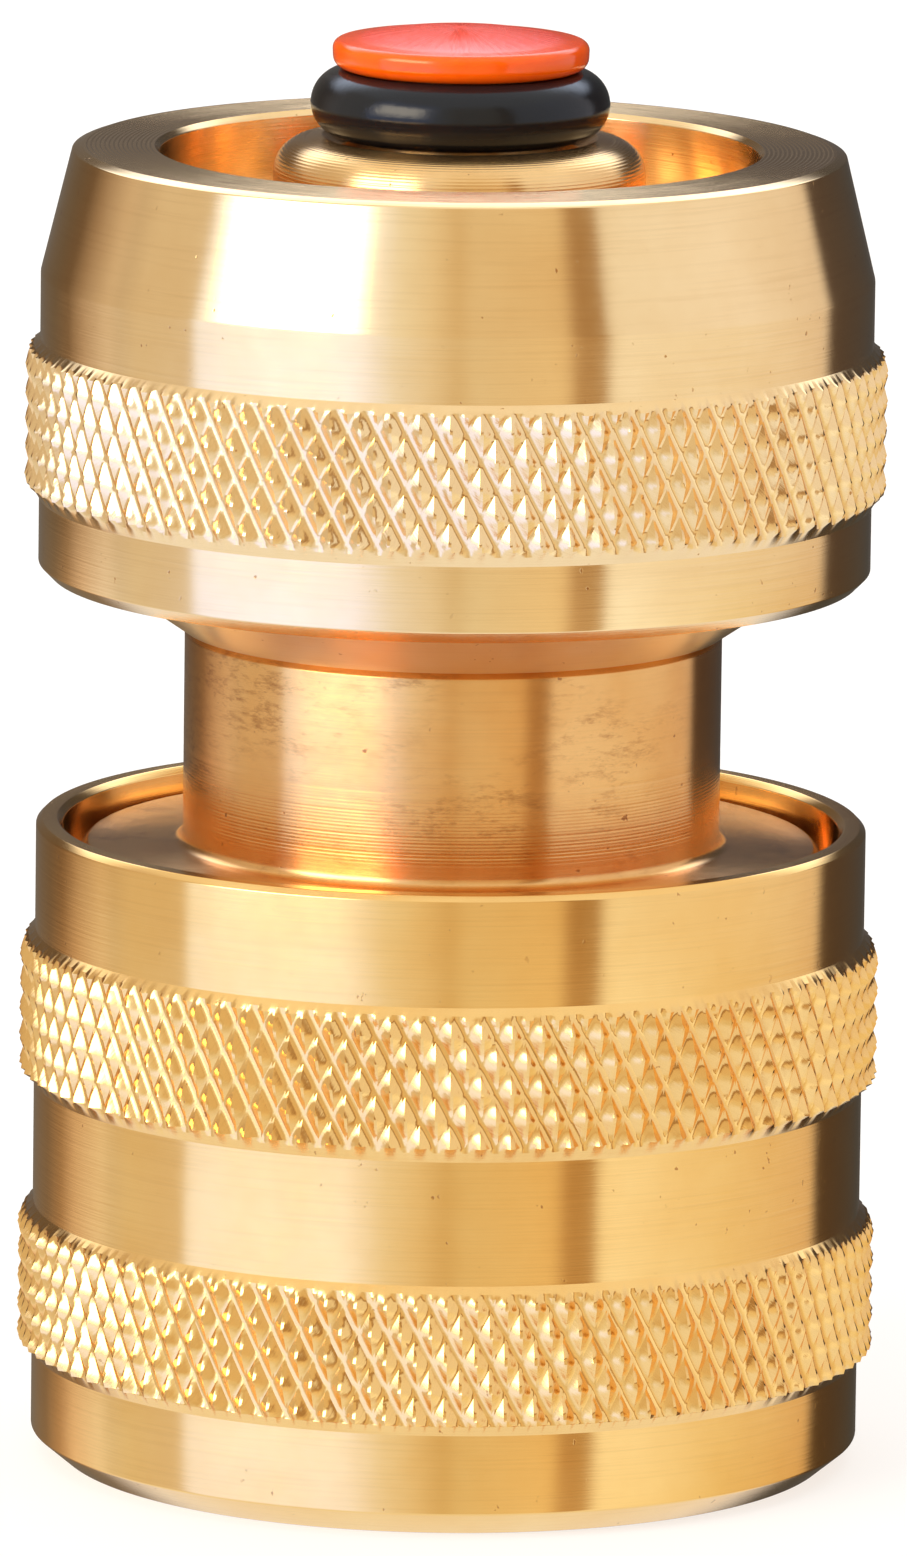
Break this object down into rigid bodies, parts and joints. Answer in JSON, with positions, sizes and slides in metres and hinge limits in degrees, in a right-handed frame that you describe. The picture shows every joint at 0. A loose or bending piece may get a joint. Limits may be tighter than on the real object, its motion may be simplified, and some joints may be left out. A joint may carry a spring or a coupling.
{
  "type": "push fit coupling",
  "caption": "Brass push-fit hose coupling with a ball-lock release sleeve, a sprung water-stop nose and a knurled nut that clamps a hose on a barbed tail.",
  "frame": {"origin": "centre of the hose nut's bottom face", "axes": "+Z along the coupling's axis towards its push-fit mouth, X and Y across it"},
  "size_m": [0.033, 0.033, 0.0551],
  "materials": {
    "pale_brass": "fine-turned brass, satin",
    "yellow_brass": "fine-turned yellow brass, satin",
    "black_rubber": "smooth, slight sheen",
    "cap_plastic": "glossy orange-red",
    "spring_steel": "drawn wire",
    "ball_steel": "polished",
    "collet_plastic": "moulded",
    "washer_nylon": "moulded"
  },
  "bodies": {
    "coupler": {"tail_body": "pale_brass", "socket_body": "pale_brass", "joint_washer": "washer_nylon", "valve_tube_o_ring": "black_rubber", "valve_stem": "pale_brass", "stem_spider": "yellow_brass", "stem_retaining_ring": "spring_steel", "nose_o_ring": "black_rubber", "stem_cap": "cap_plastic", "sleeve_snap_ring": "spring_steel", "nipple_o_ring": "black_rubber", "valve_spring": "spring_steel", "sleeve_spring": "spring_steel"},
    "sleeve": {"release_sleeve": "pale_brass"},
    "valve": {"valve_tube": "pale_brass"},
    "nut_carriage": {"hose_collet": "collet_plastic"},
    "nut": {"hose_nut": "yellow_brass"},
    "ball_1": {"lock_ball_1": "ball_steel"},
    "ball_2": {"lock_ball_2": "ball_steel"},
    "ball_3": {"lock_ball_3": "ball_steel"},
    "ball_4": {"lock_ball_4": "ball_steel"},
    "ball_5": {"lock_ball_5": "ball_steel"},
    "ball_6": {"lock_ball_6": "ball_steel"}
  },
  "joints": [
    {"name": "sleeve_slide", "type": "slide", "parent": "coupler", "child": "sleeve", "axis": [0, 0, -1], "range_m": [0, 0.003], "stiffness_N_per_m": 1200, "springref_m": -0.004, "deforming": ["sleeve_spring"]},
    {"name": "valve_slide", "type": "slide", "parent": "coupler", "child": "valve", "axis": [0, 0, -1], "range_m": [0, 0.006], "stiffness_N_per_m": 500, "springref_m": -0.008, "deforming": ["valve_spring"]},
    {"name": "nut_travel", "type": "slide", "parent": "coupler", "child": "nut_carriage", "axis": [0, 0, -1], "range_m": [0, 0.006]},
    {"name": "nut_turn", "type": "hinge", "parent": "nut_carriage", "child": "nut", "pos_m": [0, 0, 0], "axis": [0, 0, -1], "range_deg": [0, 1440]},
    {"name": "ball_1_out", "type": "slide", "parent": "coupler", "child": "ball_1", "axis": [0.866, 0.5, 0], "range_m": [0, 0.00136]},
    {"name": "ball_2_out", "type": "slide", "parent": "coupler", "child": "ball_2", "axis": [0, 1, 0], "range_m": [0, 0.00136]},
    {"name": "ball_3_out", "type": "slide", "parent": "coupler", "child": "ball_3", "axis": [-0.866, 0.5, 0], "range_m": [0, 0.00136]},
    {"name": "ball_4_out", "type": "slide", "parent": "coupler", "child": "ball_4", "axis": [-0.866, -0.5, 0], "range_m": [0, 0.00136]},
    {"name": "ball_5_out", "type": "slide", "parent": "coupler", "child": "ball_5", "axis": [0, -1, 0], "range_m": [0, 0.00136]},
    {"name": "ball_6_out", "type": "slide", "parent": "coupler", "child": "ball_6", "axis": [0.866, -0.5, 0], "range_m": [0, 0.00136]}
  ],
  "couplings": [
    {"joint": "nut_turn", "follows": "nut_travel", "rad_per_m": 4188.8},
    {"joint": "ball_1_out", "follows": "sleeve_slide", "ratio": 0.45},
    {"joint": "ball_2_out", "follows": "sleeve_slide", "ratio": 0.45},
    {"joint": "ball_3_out", "follows": "sleeve_slide", "ratio": 0.45},
    {"joint": "ball_4_out", "follows": "sleeve_slide", "ratio": 0.45},
    {"joint": "ball_5_out", "follows": "sleeve_slide", "ratio": 0.45},
    {"joint": "ball_6_out", "follows": "sleeve_slide", "ratio": 0.45}
  ]
}
